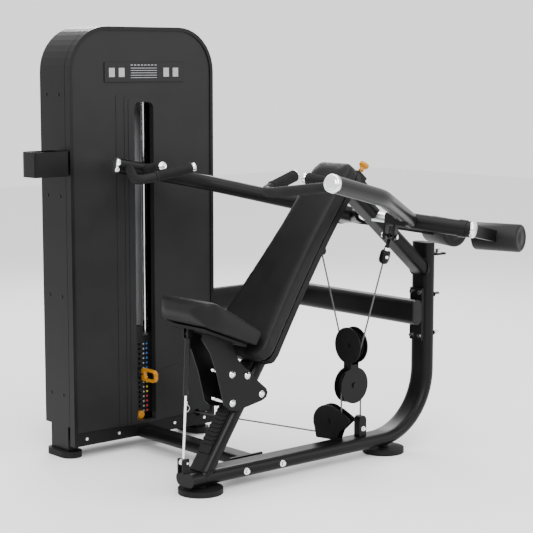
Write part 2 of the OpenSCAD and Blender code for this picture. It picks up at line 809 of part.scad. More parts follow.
// Rollers that hold the carriage on the post, on axles through both side plates.
module carriage_rollers() {
    color(chrome) placed() for (a = roller_axles) {
        translate([a.x, carriage_in + carriage_t + 1, a.y]) rotate([90, 0, 0])
            cylinder(r = 7, h = 2 * (carriage_in + carriage_t) + 2);
        for (s = [-1, 1]) translate([a.x, s * (carriage_in + carriage_t + 4) + 3, a.y]) rotate([90, 0, 0])
            cylinder(r = 13, h = 6);
    }
}

module seat_pad() {
    color(vinyl_black) placed() intersection() {
        translate([0, seat_half, 0]) rotate([90, 0, 0]) linear_extrude(2 * seat_half) polygon(seat_profile);
        translate([0, 0, 500]) linear_extrude(250)
            polygon(round_box([-101, -seat_half], [190, seat_half], [90, 30, 30, 90], 8));
    }
}

strut_dir = unit(strut_high - strut_low);
module strut_tube() {
    color(rubber_black) placed() {
        difference() {
            bar(strut_low + strut_split * strut_dir, strut_high - 16 * strut_dir, 10);
            bar(strut_low + (strut_split - 1) * strut_dir, strut_high - 30 * strut_dir, 4.5);
        }
        bar(strut_high - 16 * strut_dir, strut_high - 6 * strut_dir, 5);
        translate([strut_high.x, 6, strut_high.z]) rotate([90, 0, 0]) cylinder(r = 8, h = 12);
    }
}

module strut_rod() {
    color(chrome) placed() {
        bar(strut_low + 12 * strut_dir, strut_low + (strut_split + 60) * strut_dir, 4.2);
        difference() {
            translate([strut_low.x, 7, strut_low.z]) rotate([90, 0, 0]) cylinder(r = 14, h = 14);
            translate([strut_low.x, 10, strut_low.z]) rotate([90, 0, 0]) cylinder(r = 10.2, h = 20);
        }
    }
}

// The backrest's frame: X up its face, Y across, Z out of the face.
module back_frame() {
    translate(back_low) rotate([0, -back_angle, 0]) children();
}

// Half the back pad's width at the distance s up its face.
function back_half(s) = 105 + 70 * pow(max(0, 1 - s / 640), 1.5);
function back_outline(inset) = let (side = [for (i = [0:12]) let (s = 55 + (back_len - 95) * i / 12)
    [s, back_half(s) - inset]]) concat(
        [[inset, 0], [inset, back_half(0) - 60], [10 + inset, back_half(0) - 30], [28, back_half(0) - 12 - inset]],
        side, [[back_len - 15, 94 - inset], [back_len - inset, 72]], [[back_len - inset, 0]]);
module back_shape(inset) {
    pts = back_outline(inset);
    polygon(concat(pts, [for (i = [len(pts) - 2:-1:1]) [pts[i].x, -pts[i].y]]));
}

module back_pad() {
    color(vinyl_black) placed() back_frame() translate([0, 0, -back_pad_t]) linear_extrude(back_pad_t)
        back_shape(0);
}

// A part ring about the backrest's pivot, between two radii and two angles above the floor.
module pivot_arc(r_in, r_out, half_y, from, to) {
    translate(back_pivot) rotate([90, 0, 0]) rotate([0, 0, from]) rotate_extrude(angle = to - from, $fn = 96)
        translate([r_in, -half_y]) square([r_out - r_in, 2 * half_y]);
}

module board_solid() {
    back_frame() translate([0, 0, -back_pad_t - 24]) linear_extrude(24) back_shape(10);
}

module back_board() {
    color(frame_black) placed() {
        board_solid();
        difference() {
            pivot_arc(adjuster_r, adjuster_r + adjuster_t, 15, 40, 56);
            back_frame() translate([-50, -200, -back_pad_t - 20]) cube([1000, 400, 200]);
            for (a = [knob_angle, knob_angle - 2.5, knob_angle - 5]) translate(back_pivot) rotate([0, 90 - a, 0])
                translate([0, 0, adjuster_r - 5]) cylinder(r = 6, h = adjuster_t + 10);
        }
        for (s = [-1, 1]) {
            translate([back_pivot.x, s * 34 + 5, back_pivot.z]) rotate([90, 0, 0]) cylinder(r = 18, h = 10);
            back_frame() translate([60, s * 34 - 4, -back_pad_t - 60]) cube([60, 8, 40]);
        }
        translate([back_pivot.x, 39, back_pivot.z]) rotate([90, 0, 0]) cylinder(r = pin_r, h = 78);
    }
}

module adjuster_housing() {
    color(frame_black) placed() difference() {
        pivot_arc(adjuster_r - 24, adjuster_r + adjuster_t + 8, 24, 48.6, 52.4);
        pivot_arc(adjuster_r - 1, adjuster_r + adjuster_t + 1, 16, 40, 60);
        boom_frame() boom_solid();
        translate(back_pivot) rotate([0, 90 - knob_angle, 0]) translate([0, 0, adjuster_r]) cylinder(r = 6, h = 60);
    }
}

module pop_pin() {
    color(safety_orange) placed() translate(back_pivot) rotate([0, 90 - knob_angle, 0]) {
        translate([0, 0, adjuster_r + adjuster_t + 0.5]) cylinder(r = 5.5, h = 40);
        translate([0, 0, adjuster_r + adjuster_t + 24]) cylinder(r = 9, h = 12);
        translate([0, 0, adjuster_r + adjuster_t + 36]) cylinder(r1 = 10, r2 = 19, h = 10);
        translate([0, 0, adjuster_r + adjuster_t + 46]) cylinder(r = 19, h = 9);
    }
}

// Left arm. Every module below is mirrored for the right arm.
module arm_tube() {
    difference() {
        bent_tube(arm_front, arm_bend, arm_joint, arm_bend_r, arm_r, arm_wall);
        bar(arm_joint - hub_in * hub_dir, arm_joint + hub_out * hub_dir, arm_r + 1);
    }
}

// Two cheeks under the arm that carry the cable yoke's pin, and the block that joins them to it.
module lever_bracket() {
    difference() {
        union() {
            for (c = [-22, 14]) along(lever_end + c * hub_dir, hub_dir) rotate(90) linear_extrude(8)
                polygon([[-14, -14], [14, -14], [20, 0], [20, 70], [-20, 70], [-20, 0]]);
            along(lever_end - 22 * hub_dir, hub_dir) rotate(90) linear_extrude(81)
                polygon([[-20, 46], [20, 46], [20, 84], [-20, 84]]);
        }
        bar(arm_bend, arm_joint, arm_r);
        along(lever_end - 40 * hub_dir, hub_dir) cylinder(r = lever_pin_r, h = 90);
    }
}

// The hub turns on the axle in two bores, and carries the counterweight's bar.
module hub() {
    inner = arm_joint - hub_in * hub_dir;
    outer = arm_joint + hub_out * hub_dir;
    difference() {
        union() {
            along(inner, hub_dir) linear_extrude(norm(outer - inner)) difference() {
                circle(arm_r + 1);
                circle(arm_r - 3);
            }
            for (p = [inner + 2 * hub_dir, outer - 60 * hub_dir]) along(p, hub_dir) linear_extrude(36) difference() {
                circle(arm_r - 2);
                circle(axle_r + run_gap);
            }
            along(outer - 46 * hub_dir, hub_dir) linear_extrude(30) difference() {
                circle(arm_r + 4);
                circle(arm_r);
            }
        }
    }
    difference() {
        along(bar_root, weight_mid - bar_root) translate([-22, -10, 0]) cube([44, 20, norm(weight_mid - bar_root)]);
        bar(arm_joint, outer + 40 * hub_dir, arm_r - 1);
        counterweight_solid();
    }
}

module counterweight_solid() {
    bar(weight_mid - weight_len / 2 * weight_dir, weight_mid + weight_len / 2 * weight_dir, weight_r);
}

module counterweight() {
    counterweight_solid();
}

module handles() {
    turn_in = handle_bend - 90 * unit(handle_bend - handle_root);
    bent_tube(turn_in, handle_bend, handle_end, handle_bend_r, handle_r, 3);
    difference() {
        union() {
            pipe(handle_root, turn_in - seam * unit(handle_bend - handle_root), handle_r, 3);
            pipe(grip_root, grip_end, handle_r, 3);
        }
        bar(arm_front - 20 * unit(arm_bend - arm_front), arm_bend, arm_r);
    }
}

module end_cap(p, d, r) {
    bar(p, p + cap_len * unit(d), r);
    bar(p + cap_len * unit(d), p + (cap_len + 3) * unit(d), r - 4);
}

module end_caps() {
    end_cap(arm_front, arm_front - arm_bend, arm_r + 2);
    end_cap(arm_joint + hub_out * hub_dir, hub_dir, arm_r + 1);
    end_cap(handle_end, handle_end - handle_bend, handle_r - 1);
    end_cap(grip_end, grip_end - grip_root, handle_r - 1);
    bar(lever_end - 27 * hub_dir, lever_end + 27 * hub_dir, lever_pin_r);
}

// The yoke hangs on the lever pin and grips the cable's end.
module cable_yoke() {
    difference() {
        union() {
            bar(lever_end - 10 * hub_dir, lever_end + 10 * hub_dir, 14);
            bar(lever_end + 8 * yoke_dir, lever_end + 52 * yoke_dir, 8);
            bar(lever_end + 48 * yoke_dir, lever_end + 60 * yoke_dir, 12);
            bar(lever_end + 56 * yoke_dir, lever_end + 111.7 * yoke_dir, 19);
        }
        bar(lever_end - 12 * hub_dir, lever_end + 12 * hub_dir, lever_pin_r + run_gap);
    }
}

module right_side() {
    placed() mirror([0, 1, 0]) children();
}

base_beam();
rear_upright();
boom();
pivot_axles();
floor_feet();
cross_beam();
link_bar();
frame_brackets();
frame_bolts();
tower_columns();
tower_crossbars();
side_shell();
front_frame();
front_panel();
bottle_holder();
guide_rods();
resting_plates();
stack_bumpers();
stop_disc();
lift_cable();
stack_cable();
fixed_pulley_guard();
seat_post();
adjuster_housing();
base_pulley();
side_top_pulley();
centre_top_pulley();
fixed_pulley();
block_upper_pulley();
block_lower_pulley();
block_covers();
block_cable();
lifted_plates();
head_plate();
selector_pin();
pin_handle();
lanyard();
lanyard_clip();
seat_carriage();
carriage_rollers();
seat_pad();
strut_tube();
strut_rod();
back_pad();
back_board();
pop_pin();
color(frame_black) placed() arm_tube();  // left_arm_tube
color(frame_black) placed() lever_bracket();  // left_lever_bracket
color(frame_black) placed() hub();  // left_hub
color(rubber_black) placed() handles();  // left_handles
color(chrome) placed() end_caps();  // left_end_caps
color(frame_black) placed() counterweight();  // left_counterweight
color(frame_black) placed() cable_yoke();  // left_cable_yoke
color(frame_black) right_side() arm_tube();  // right_arm_tube
color(frame_black) right_side() lever_bracket();  // right_lever_bracket
color(frame_black) right_side() hub();  // right_hub
color(rubber_black) right_side() handles();  // right_handles
color(chrome) right_side() end_caps();  // right_end_caps
color(frame_black) right_side() counterweight();  // right_counterweight
color(frame_black) right_side() cable_yoke();  // right_cable_yoke
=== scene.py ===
# %% [markdown]
# # Shoulder press machine with a weight tower
# This scene dresses a machine whose metalwork is already modelled exactly. The lesson goes from the
# camera to the loose cord, the materials, the cushions, the small hardware and the lights.

import json
import math

import bmesh
import bpy
import numpy as np
from mathutils import Matrix, Vector


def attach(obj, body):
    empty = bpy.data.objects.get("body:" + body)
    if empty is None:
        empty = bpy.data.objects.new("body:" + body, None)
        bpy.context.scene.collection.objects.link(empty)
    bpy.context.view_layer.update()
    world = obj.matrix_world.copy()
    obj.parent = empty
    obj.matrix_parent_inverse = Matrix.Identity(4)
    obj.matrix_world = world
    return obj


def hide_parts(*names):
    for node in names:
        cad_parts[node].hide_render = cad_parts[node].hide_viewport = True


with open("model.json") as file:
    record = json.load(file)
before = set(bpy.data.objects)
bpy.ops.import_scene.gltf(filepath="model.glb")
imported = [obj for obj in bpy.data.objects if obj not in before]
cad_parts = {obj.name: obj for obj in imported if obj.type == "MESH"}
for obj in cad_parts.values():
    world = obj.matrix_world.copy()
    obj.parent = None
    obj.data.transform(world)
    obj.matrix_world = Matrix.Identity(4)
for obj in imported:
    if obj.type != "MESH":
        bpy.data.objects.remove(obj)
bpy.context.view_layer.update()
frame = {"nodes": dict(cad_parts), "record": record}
NODES = frame["nodes"]
MIDDLE = (611.0, 122.0)


def at(x, y, z):
    """A point of the design, in millimetres from the front foot, as metres in the row frame."""
    return Vector(((x - MIDDLE[0]) / 1000, (y - MIDDLE[1]) / 1000, z / 1000))


# %% [markdown]
# ## Camera
# The camera stands at the machine's front left, a little above the backrest, and looks slightly down.

# %% Camera
CAMERA_AT = at(-3337.8, -4229.7, 1500)
VIEW_RIGHT = Vector((0.7577, -0.6526, 0.0))
VIEW_FORWARD = Vector((0.6472, 0.7514, -0.1288)).normalized()
VIEW_UP = VIEW_RIGHT.cross(VIEW_FORWARD).normalized()
camera_data = bpy.data.cameras.new("camera")
camera_data.lens = 106.35
camera_data.sensor_width = 36
camera = bpy.data.objects.new("camera", camera_data)
bpy.context.scene.collection.objects.link(camera)
camera.matrix_world = Matrix((
    (VIEW_RIGHT.x, VIEW_UP.x, -VIEW_FORWARD.x, CAMERA_AT.x),
    (VIEW_RIGHT.y, VIEW_UP.y, -VIEW_FORWARD.y, CAMERA_AT.y),
    (VIEW_RIGHT.z, VIEW_UP.z, -VIEW_FORWARD.z, CAMERA_AT.z),
    (0, 0, 0, 1)))
bpy.context.scene.camera = camera
print("camera at", [round(c, 3) for c in CAMERA_AT])

# %% [markdown]
# ## Shader sums
# A small class lets shader maths read like ordinary sums: each operator adds one Math node.


# %% Shader sums
class Value:
    def __init__(self, tree, socket):
        self.tree, self.socket = tree, socket

    def _math(self, operation, other):
        node = self.tree.nodes.new("ShaderNodeMath")
        node.operation = operation
        for port, item in zip(node.inputs, (self, other)):
            if isinstance(item, Value):
                self.tree.links.new(item.socket, port)
            else:
                port.default_value = item
        return Value(self.tree, node.outputs[0])

    def __add__(self, other):
        return self._math("ADD", other)

    def __mul__(self, other):
        return self._math("MULTIPLY", other)

    def sine(self):
        return self._math("SINE", 0.0)

    def between(self, low, high):
        node = self.tree.nodes.new("ShaderNodeMapRange")
        self.tree.links.new(self.socket, node.inputs["Value"])
        node.inputs["From Min"].default_value = low
        node.inputs["From Max"].default_value = high
        return Value(self.tree, node.outputs["Result"])


class Paint:
    """One material under construction, with its object coordinates and its principled shader."""

    def __init__(self, name, colour, rough, metal=0.0, coat=0.0, shine=0.5):
        self.material = bpy.data.materials.new(name)
        self.material.use_nodes = True
        self.tree = self.material.node_tree
        self.shader = self.tree.nodes["Principled BSDF"]
        self.shader.inputs["Base Color"].default_value = (*colour, 1)
        self.shader.inputs["Roughness"].default_value = rough
        self.shader.inputs["Metallic"].default_value = metal
        self.shader.inputs["Coat Weight"].default_value = coat
        self.shader.inputs["Specular IOR Level"].default_value = shine
        self.place = self.tree.nodes.new("ShaderNodeTexCoord").outputs["Object"]

    def axis(self, name):
        split = self.tree.nodes.new("ShaderNodeSeparateXYZ")
        self.tree.links.new(self.place, split.inputs[0])
        return Value(self.tree, split.outputs[name])

    def noise(self, scale, detail=2.0, stretch=None):
        node = self.tree.nodes.new("ShaderNodeTexNoise")
        node.inputs["Scale"].default_value = scale
        node.inputs["Detail"].default_value = detail
        place = self.place
        if stretch:
            mapping = self.tree.nodes.new("ShaderNodeMapping")
            mapping.inputs["Scale"].default_value = stretch
            self.tree.links.new(place, mapping.inputs["Vector"])
            place = mapping.outputs[0]
        self.tree.links.new(place, node.inputs["Vector"])
        return Value(self.tree, node.outputs["Fac"])

    def cells(self, scale):
        node = self.tree.nodes.new("ShaderNodeTexVoronoi")
        node.feature = "DISTANCE_TO_EDGE"
        node.inputs["Scale"].default_value = scale
        self.tree.links.new(self.place, node.inputs["Vector"])
        return Value(self.tree, node.outputs["Distance"])

    def rough(self, value):
        self.tree.links.new(value.socket, self.shader.inputs["Roughness"])
        return self

    def tint(self, value, dark, light):
        ramp = self.tree.nodes.new("ShaderNodeValToRGB")
        ramp.color_ramp.elements[0].color = (*dark, 1)
        ramp.color_ramp.elements[1].color = (*light, 1)
        self.tree.links.new(value.socket, ramp.inputs[0])
        self.tree.links.new(ramp.outputs[0], self.shader.inputs["Base Color"])
        return self

    def bump(self, value, strength, distance):
        node = self.tree.nodes.new("ShaderNodeBump")
        node.inputs["Strength"].default_value = strength
        node.inputs["Distance"].default_value = distance
        self.tree.links.new(value.socket, node.inputs["Height"])
        self.tree.links.new(node.outputs[0], self.shader.inputs["Normal"])
        return self


# %% [markdown]
# ## Materials
# Powder coat is a fine orange peel over near black. Its roughness drifts slowly, so long tubes do not
# look like plastic. Vinyl has small cells and broad soft creases, with painted shade in the crease valleys.


# %% Materials
def powder(name, dark, light, rough, peel, shine=0.14):
    paint = Paint(name, light, rough, shine=shine)
    drift = paint.noise(7.0, 3.0)
    paint.tint(drift.between(0.3, 0.7), dark, light)
    paint.rough(drift * 0.12 + (rough - 0.06))
    return paint.bump(paint.noise(900.0, 1.0), peel, 0.0004).material


def polished(name, colour, rough):
    paint = Paint(name, colour, rough, metal=1.0)
    return paint.rough(paint.noise(18.0, 4.0).between(0.25, 0.8) * 0.10 + rough).material


def vinyl(name):
    paint = Paint(name, (0.004, 0.004, 0.0042), 0.5, shine=0.16)
    creases = paint.noise(13.0, 2.0)
    grain = paint.cells(520.0).between(0.0, 0.25)
    # Painted shade: the colour is darker in the crease valleys, where the crease bump is low.
    paint.tint(creases.between(0.3, 0.75), (0.003, 0.003, 0.0032), (0.005, 0.005, 0.0053))
    paint.rough(creases * 0.14 + 0.40)
    return paint.bump(grain * 0.3 + creases * 0.5, 0.25, 0.0010).material


def moulded(name, dark, light, rough, grain=1400.0, coat=0.0, shine=0.5):
    paint = Paint(name, light, rough, coat=coat, shine=shine)
    drift = paint.noise(30.0, 2.0)
    paint.tint(drift.between(0.3, 0.7), dark, light)
    paint.rough(drift * 0.1 + (rough - 0.05))
    return paint.bump(paint.noise(grain, 1.0), 0.12, 0.0003).material


def rope_wire(name):
    paint = Paint(name, (0.05, 0.05, 0.052), 0.4, metal=0.6)
    twist = ((paint.axis("Z") + paint.axis("Y") * 0.6 + paint.axis("X") * 0.5) * 1900.0).sine()
    # Painted shade and painted highlight: the colour is dark in the grooves between strands and light on the
    # strand crowns, in step with the bump.
    paint.tint(twist.between(-1.0, 1.0), (0.018, 0.018, 0.019), (0.16, 0.16, 0.165))
    return paint.bump(twist, 0.5, 0.0006).material


def cast_iron(name):
    paint = Paint(name, (0.006, 0.006, 0.0065), 0.5, shine=0.2)
    pits = paint.noise(240.0, 4.0)
    paint.tint(pits.between(0.3, 0.8), (0.004, 0.004, 0.0042), (0.009, 0.009, 0.010))
    return paint.bump(pits, 0.35, 0.0008).material


LOOKS = {
    "powder_black": powder("powder_black", (0.0022, 0.0022, 0.0024), (0.004, 0.004, 0.0042), 0.34, 0.14),
    "panel_grey": powder("panel_grey", (0.0085, 0.0085, 0.009), (0.0115, 0.0115, 0.012), 0.40, 0.10),
    "chrome": polished("chrome", (0.90, 0.91, 0.92), 0.10),
    "iron_black": cast_iron("iron_black"),
    "rubber": moulded("rubber", (0.003, 0.003, 0.003), (0.006, 0.006, 0.006), 0.68, 700.0, shine=0.2),
    "vinyl": vinyl("vinyl"),
    "orange_plastic": moulded(
        "orange_plastic", (0.36, 0.14, 0.006), (0.44, 0.18, 0.008), 0.38, coat=0.1, shine=0.2),
    "black_plastic": moulded("black_plastic", (0.003, 0.003, 0.003), (0.006, 0.006, 0.0063), 0.42, shine=0.2),
    "steel_cable": rope_wire("steel_cable")}
backing_grey = powder("backing_grey", (0.34, 0.34, 0.35), (0.40, 0.40, 0.41), 0.5, 0.05, 0.4)
print_grey = moulded("print_grey", (0.24, 0.24, 0.25), (0.30, 0.30, 0.31), 0.5, shine=0.2)
LABELS = {
    "blue": moulded("label_blue", (0.02, 0.10, 0.35), (0.03, 0.13, 0.42), 0.45),
    "yellow": moulded("label_yellow", (0.62, 0.45, 0.03), (0.70, 0.52, 0.04), 0.45),
    "red": moulded("label_red", (0.42, 0.03, 0.02), (0.50, 0.04, 0.03), 0.45)}
SLOT_OF = {s["node"]: s["material_slot"] for s in frame["record"]["subparts"]}
for node_name, node in NODES.items():
    node.data.materials.clear()
    node.data.materials.append(LOOKS[SLOT_OF[node_name]])
print("materials", len(bpy.data.materials))


# %% [markdown]
# ## Making and joining pieces
# `add_piece` is the one place where a new mesh becomes an object, takes a finish and rides on a body.
# Every piece keeps its object at the origin, with its place in its mesh.


# %% Piece helpers
def add_piece(name, mesh, look, body, smooth=True):
    piece = bpy.data.objects.new(name, mesh)
    bpy.context.scene.collection.objects.link(piece)
    if look is not None:
        mesh.materials.clear()
        mesh.materials.append(look)
    for face in mesh.polygons:
        face.use_smooth = smooth
    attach(piece, body)
    return piece


def mesh_from(name, bm):
    mesh = bpy.data.meshes.new(name)
    bmesh.ops.recalc_face_normals(bm, faces=bm.faces)
    bm.to_mesh(mesh)
    bm.free()
    return mesh


def skin(bm, rings, closed=False):
    """Joins rings of vertices with quads, and closes both ends unless the row of rings is a loop."""
    for low, high in list(zip(rings, rings[1:])) + ([(rings[-1], rings[0])] if closed else []):
        for k in range(len(low)):
            after = (k + 1) % len(low)
            bm.faces.new((low[k], low[after], high[after], high[k]))
    if not closed:
        bm.faces.new(rings[0])
        bm.faces.new(rings[-1][::-1])
    return bm


def turned(profile, start, along, steps=40):
    """A turned solid: (distance along, radius) pairs about the line from start."""
    bm = bmesh.new()
    frame_up = along.normalized().to_track_quat("Z", "Y").to_matrix()
    rings = []
    for distance, radius in profile:
        turn = [2 * math.pi * k / steps for k in range(steps)]
        rings.append([bm.verts.new(start + frame_up @ Vector(
            (radius * math.cos(a), radius * math.sin(a), distance))) for a in turn])
    return skin(bm, rings)


def swept(points, radius, steps=10, closed=False):
    """A round tube along points."""
    bm = bmesh.new()
    count = len(points)
    rings = []
    side = Vector((0.2, 1.0, 0.1))
    for i, point in enumerate(points):
        after = points[(i + 1) % count] if closed else points[min(i + 1, count - 1)]
        before = points[i - 1] if closed else points[max(i - 1, 0)]
        ahead = (after - before).normalized()
        u = ahead.cross(side).normalized()
        v = ahead.cross(u)
        rings.append([bm.verts.new(point + radius * (
            math.cos(2 * math.pi * k / steps) * u + math.sin(2 * math.pi * k / steps) * v))
            for k in range(steps)])
    return skin(bm, rings, closed)


# %% [markdown]
# ## The lanyard
# A thin cord ties the selector pin to the tower. It leaves the handle's upper corner, rises a little
# because it is stiff, and then hangs.

# %% Lanyard
LANYARD_POINTS = [(258, 588, 312), (272, 585, 317), (290, 582, 323), (310, 580, 328), (332, 579, 332),
                  (352, 579, 332), (370, 580, 327), (383, 582, 317), (391, 584, 303), (395, 586, 287),
                  (397, 588, 269), (398, 589, 251), (398, 589, 232), (398, 589, 213), (398, 589, 193),
                  (398, 589, 173)]
CORD_RADIUS = 0.0015
route = [at(*p) for p in LANYARD_POINTS]
cord_curve = bpy.data.curves.new("lanyard_cord", "CURVE")
cord_curve.dimensions = "3D"
cord_curve.bevel_depth = CORD_RADIUS
cord_curve.bevel_resolution = 4
spline = cord_curve.splines.new("POLY")
spline.points.add(len(route) - 1)
for knot, point in zip(spline.points, route):
    knot.co = (*point, 1)
cord_curve.materials.append(LOOKS["rubber"])
lanyard = bpy.data.objects.new("lanyard_cord", cord_curve)
bpy.context.scene.collection.objects.link(lanyard)
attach(lanyard, "selector")
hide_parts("lanyard")

# %% [markdown]
# ## Cushions
# Each cushion starts as its plain solid, a little smaller. Cloth pressure then swells it by a few
# millimetres, while the side that is glued to its board stays still. Smoothing rounds the edges.


# %% Cushions
CLOTH_FRAMES = 20


def swell(name, node, out_of_face, shrink, cap, voxel, pressure, rounding):
    source = NODES[node].data
    mesh = source.copy()
    piece = bpy.data.objects.new(name + "_start", mesh)
    bpy.context.scene.collection.objects.link(piece)
    bm = bmesh.new()
    bm.from_mesh(mesh)
    bmesh.ops.remove_doubles(bm, verts=bm.verts, dist=1e-5)
    middle = sum((v.co for v in bm.verts), Vector()) / len(bm.verts)
    across = Vector((0, 1, 0))
    up = across.cross(out_of_face).normalized()
    for direction in (up, across, out_of_face):
        reach = max(abs((v.co - middle).dot(direction)) for v in bm.verts)
        for v in bm.verts:
            offset = (v.co - middle).dot(direction)
            v.co -= direction * (offset / reach) * (shrink if direction != out_of_face else shrink * 0.6)
    bm.to_mesh(mesh)
    bm.free()
    bpy.context.view_layer.objects.active = piece
    piece.select_set(True)
    mesh.remesh_voxel_size = voxel
    bpy.ops.object.voxel_remesh()
    mesh = piece.data
    start = np.empty(len(mesh.vertices) * 3)
    mesh.vertices.foreach_get("co", start)
    start = start.reshape(-1, 3)
    glued = piece.vertex_groups.new(name="glued")
    held = [v.index for v in mesh.vertices if v.normal.dot(out_of_face) < -0.6]
    glued.add(held, 1.0, "REPLACE")
    cloth = piece.modifiers.new("cloth", "CLOTH")
    cloth.settings.quality = 5
    cloth.settings.mass = 0.3
    cloth.settings.use_pressure = True
    cloth.settings.uniform_pressure_force = pressure
    cloth.settings.tension_stiffness = 20
    cloth.settings.compression_stiffness = 20
    cloth.settings.bending_stiffness = 12
    cloth.settings.vertex_group_mass = "glued"
    cloth.settings.effector_weights.gravity = 0
    cloth.collision_settings.use_self_collision = False
    cloth.point_cache.frame_start, cloth.point_cache.frame_end = 1, CLOTH_FRAMES
    for step in range(1, CLOTH_FRAMES + 1):
        bpy.context.scene.frame_set(step)
    graph = bpy.context.evaluated_depsgraph_get()
    puffed = piece.evaluated_get(graph).to_mesh()
    moved = np.empty(len(puffed.vertices) * 3)
    puffed.vertices.foreach_get("co", moved)
    moved = moved.reshape(-1, 3)
    piece.evaluated_get(graph).to_mesh_clear()
    travel = moved - start
    length = np.linalg.norm(travel, axis=1, keepdims=True)
    start = start + travel * np.minimum(1.0, cap / np.maximum(length, 1e-9))
    piece.modifiers.clear()
    bpy.context.scene.frame_set(1)
    mesh.vertices.foreach_set("co", start.ravel())
    smooth = piece.modifiers.new("smooth", "SMOOTH")
    smooth.factor, smooth.iterations = 0.6, rounding
    finer = piece.modifiers.new("finer", "SUBSURF")
    finer.levels = finer.render_levels = 1
    graph = bpy.context.evaluated_depsgraph_get()
    final = bpy.data.meshes.new_from_object(piece.evaluated_get(graph))
    final.name = name
    bpy.data.objects.remove(piece)
    return final


BACK_ANGLE = math.radians(52.2)
BACK_OUT = Vector((-math.sin(BACK_ANGLE), 0, math.cos(BACK_ANGLE)))
SEAT_OUT = Vector((0.536, 0, 1)).normalized()
back_mesh = swell("back_cushion", "back_pad", BACK_OUT, 0.004, 0.007, 0.006, 2.0, 22)
back_cushion = add_piece("back_cushion", back_mesh, LOOKS["vinyl"], "backrest")
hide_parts("back_pad")
seat_mesh = swell("seat_cushion", "seat_pad", SEAT_OUT, 0.002, 0.006, 0.005, 2.0, 30)
seat_cushion = add_piece("seat_cushion", seat_mesh, LOOKS["vinyl"], "seat")
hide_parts("seat_pad")
print("cushion faces", len(back_mesh.polygons), len(seat_mesh.polygons))


# %% [markdown]
# ## Repeated parts
# Two geometry node groups make what repeats: ribs along a grip, and small studs on given points. Their
# result is read back as an ordinary mesh, and the modifier is gone before the piece rides on anything.


# %% Geometry node groups
def new_group(name, sockets):
    group = bpy.data.node_groups.new(name, "GeometryNodeTree")
    group.interface.new_socket("Geometry", in_out="INPUT", socket_type="NodeSocketGeometry")
    for label, kind in sockets:
        group.interface.new_socket(label, in_out="INPUT", socket_type=kind)
    group.interface.new_socket("Geometry", in_out="OUTPUT", socket_type="NodeSocketGeometry")
    return group, group.nodes.new("NodeGroupInput"), group.nodes.new("NodeGroupOutput")


def finish_group(group, source, end, instances):
    real = group.nodes.new("GeometryNodeRealizeInstances")
    paint = group.nodes.new("GeometryNodeSetMaterial")
    group.links.new(instances, real.inputs[0])
    group.links.new(real.outputs[0], paint.inputs["Geometry"])
    group.links.new(source.outputs["Material"], paint.inputs["Material"])
    group.links.new(paint.outputs[0], end.inputs[0])


def ribs_group():
    group, source, end = new_group("ribs", [
        ("Count", "NodeSocketInt"), ("Length", "NodeSocketFloat"), ("Radius", "NodeSocketFloat"),
        ("Rib", "NodeSocketFloat"), ("Material", "NodeSocketMaterial")])
    line = group.nodes.new("GeometryNodeMeshLine")
    line.mode = "END_POINTS"
    reach = group.nodes.new("ShaderNodeCombineXYZ")
    ring = group.nodes.new("GeometryNodeCurvePrimitiveCircle")
    ring.inputs["Resolution"].default_value = 36
    rib = group.nodes.new("GeometryNodeCurvePrimitiveCircle")
    rib.inputs["Resolution"].default_value = 8
    tube = group.nodes.new("GeometryNodeCurveToMesh")
    put = group.nodes.new("GeometryNodeInstanceOnPoints")
    group.links.new(source.outputs["Count"], line.inputs["Count"])
    group.links.new(source.outputs["Length"], reach.inputs["Z"])
    group.links.new(reach.outputs[0], line.inputs["Offset"])
    group.links.new(source.outputs["Radius"], ring.inputs["Radius"])
    group.links.new(source.outputs["Rib"], rib.inputs["Radius"])
    group.links.new(ring.outputs[0], tube.inputs["Curve"])
    group.links.new(rib.outputs[0], tube.inputs["Profile Curve"])
    group.links.new(line.outputs[0], put.inputs["Points"])
    group.links.new(tube.outputs[0], put.inputs["Instance"])
    finish_group(group, source, end, put.outputs[0])
    return group


def studs_group():
    group, source, end = new_group("studs", [
        ("Radius", "NodeSocketFloat"), ("Height", "NodeSocketFloat"), ("Sides", "NodeSocketInt"),
        ("Rotation", "NodeSocketRotation"), ("Material", "NodeSocketMaterial")])
    head = group.nodes.new("GeometryNodeMeshCylinder")
    put = group.nodes.new("GeometryNodeInstanceOnPoints")
    group.links.new(source.outputs["Radius"], head.inputs["Radius"])
    group.links.new(source.outputs["Height"], head.inputs["Depth"])
    group.links.new(source.outputs["Sides"], head.inputs["Vertices"])
    group.links.new(source.outputs["Geometry"], put.inputs["Points"])
    group.links.new(head.outputs[0], put.inputs["Instance"])
    group.links.new(source.outputs["Rotation"], put.inputs["Rotation"])
    finish_group(group, source, end, put.outputs[0])
    return group


RIBS, STUDS = ribs_group(), studs_group()


def grown(name, group, points, **values):
    """Runs a group on a mesh of bare points and returns the result as a new mesh."""
    mesh = bpy.data.meshes.new(name + "_points")
    mesh.from_pydata([tuple(p) for p in points], [], [])
    carrier = bpy.data.objects.new(name + "_carrier", mesh)
    bpy.context.scene.collection.objects.link(carrier)
    modifier = carrier.modifiers.new("grow", "NODES")
    modifier.node_group = group
    for item in group.interface.items_tree:
        if item.in_out == "INPUT" and item.name in values:
            modifier[item.identifier] = values[item.name]
    graph = bpy.context.evaluated_depsgraph_get()
    result = bpy.data.meshes.new_from_object(carrier.evaluated_get(graph))
    result.name = name
    bpy.data.objects.remove(carrier)
    return result


# %% [markdown]
# ## Grips, caps and small hardware
# Everything on the arms is made for the left arm and mirrored for the right one.

# %% Grips
MIRROR = Matrix.Diagonal((1, -1, 1, 1))
ACROSS = MIDDLE[1] / 1000


